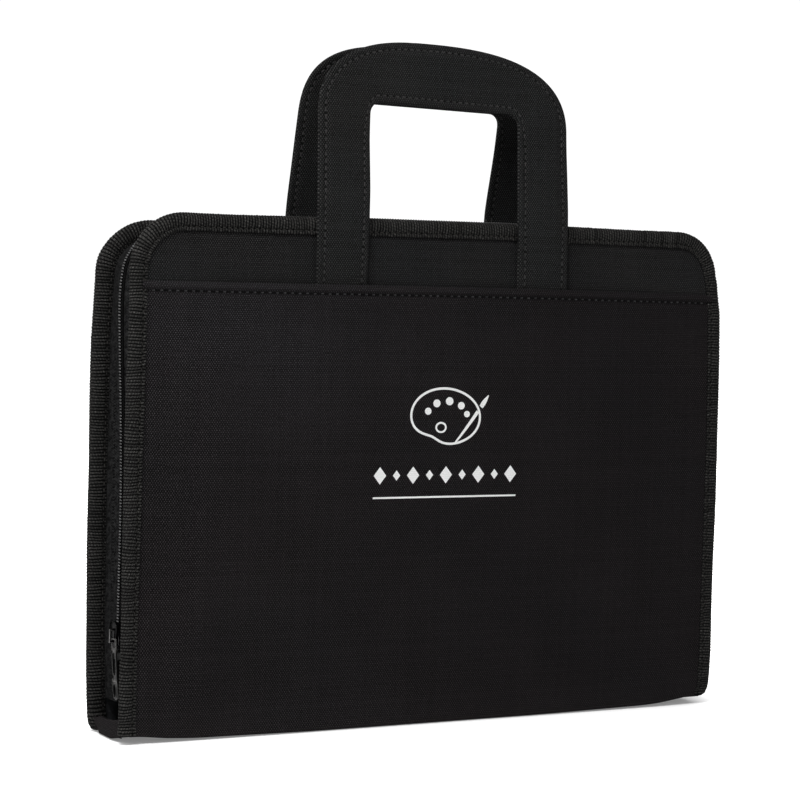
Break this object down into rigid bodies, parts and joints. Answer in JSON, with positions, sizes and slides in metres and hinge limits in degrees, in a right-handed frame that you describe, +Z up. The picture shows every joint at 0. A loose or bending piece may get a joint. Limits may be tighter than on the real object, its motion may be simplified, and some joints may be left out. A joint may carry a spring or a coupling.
{
  "type": "portfolio case",
  "caption": "Slim zip-around portfolio case in black canvas, standing on its spine: two padded covers, bound edges, outer slip pockets and a pair of flat looped handles.",
  "frame": {"origin": "middle of the spine's underside, which is the surface the case stands on", "axes": "+Z up, +X along the width, -Y out of the front cover"},
  "size_m": [0.368, 0.0496, 0.3644],
  "materials": {
    "canvas": "matte woven canvas",
    "handle_canvas": "matte woven canvas",
    "binding": "ribbed grosgrain tape with a slight sheen",
    "lining": "thin smooth nylon",
    "foam": "soft foam",
    "board": "raw greyboard",
    "handle_core": "stiff webbing core",
    "zip_tape": "woven zip tape",
    "zip_coil": "moulded nylon coil",
    "zip_metal": "black enamelled zinc"
  },
  "bodies": {
    "spine": {"spine_canvas": "canvas", "spine_board": "board", "spine_lining": "lining"},
    "front_cover": {"front_canvas_panel": "canvas", "front_foam_pad": "foam", "front_stiffener_board": "board", "front_lining": "lining", "front_inner_pocket": "lining", "front_edge_binding": "binding", "front_outer_pocket": "canvas", "front_pocket_hem": "canvas", "front_handle_tab_left": "handle_canvas", "front_handle_tab_right": "handle_canvas", "front_zip_tape": "zip_tape", "front_zip_coil": "zip_coil", "front_zip_stop_left": "zip_metal", "front_zip_stop_right": "zip_metal"},
    "front_handle": {"front_handle_face": "handle_canvas", "front_handle_core": "handle_core", "front_handle_backing": "handle_canvas"},
    "back_cover": {"back_canvas_panel": "canvas", "back_foam_pad": "foam", "back_stiffener_board": "board", "back_lining": "lining", "back_inner_pocket": "lining", "back_edge_binding": "binding", "back_outer_pocket": "canvas", "back_pocket_hem": "canvas", "back_handle_tab_left": "handle_canvas", "back_handle_tab_right": "handle_canvas", "back_zip_tape": "zip_tape", "back_zip_coil": "zip_coil", "back_zip_stop_left": "zip_metal", "back_zip_stop_right": "zip_metal"},
    "back_handle": {"back_handle_face": "handle_canvas", "back_handle_core": "handle_core", "back_handle_backing": "handle_canvas"},
    "zip_slider": {"zip_slider_body": "zip_metal"},
    "zip_pull": {"zip_pull_tab": "zip_metal"}
  },
  "joints": [
    {"name": "front_cover_hinge", "type": "hinge", "parent": "spine", "child": "front_cover", "pos_m": [0, -0.0225, 0], "axis": [1, 0, 0], "range_deg": [0, 90]},
    {"name": "back_cover_hinge", "type": "hinge", "parent": "spine", "child": "back_cover", "pos_m": [0, 0.0225, 0], "axis": [-1, 0, 0], "range_deg": [0, 90]},
    {"name": "front_handle_fold", "type": "hinge", "parent": "front_cover", "child": "front_handle", "pos_m": [0, -0.0246, 0.2354], "axis": [1, 0, 0], "range_deg": [0, 170]},
    {"name": "back_handle_fold", "type": "hinge", "parent": "back_cover", "child": "back_handle", "pos_m": [0, 0.0246, 0.2354], "axis": [-1, 0, 0], "range_deg": [0, 170]},
    {"name": "zip_slider_travel", "type": "slide", "parent": "back_cover", "child": "zip_slider", "axis": [0, 0, 1], "range_m": [0, 0.09]},
    {"name": "zip_pull_swing", "type": "hinge", "parent": "zip_slider", "child": "zip_pull", "pos_m": [-0.17915, 0, 0.0513], "axis": [0, 1, 0], "range_deg": [0, 150]}
  ]
}
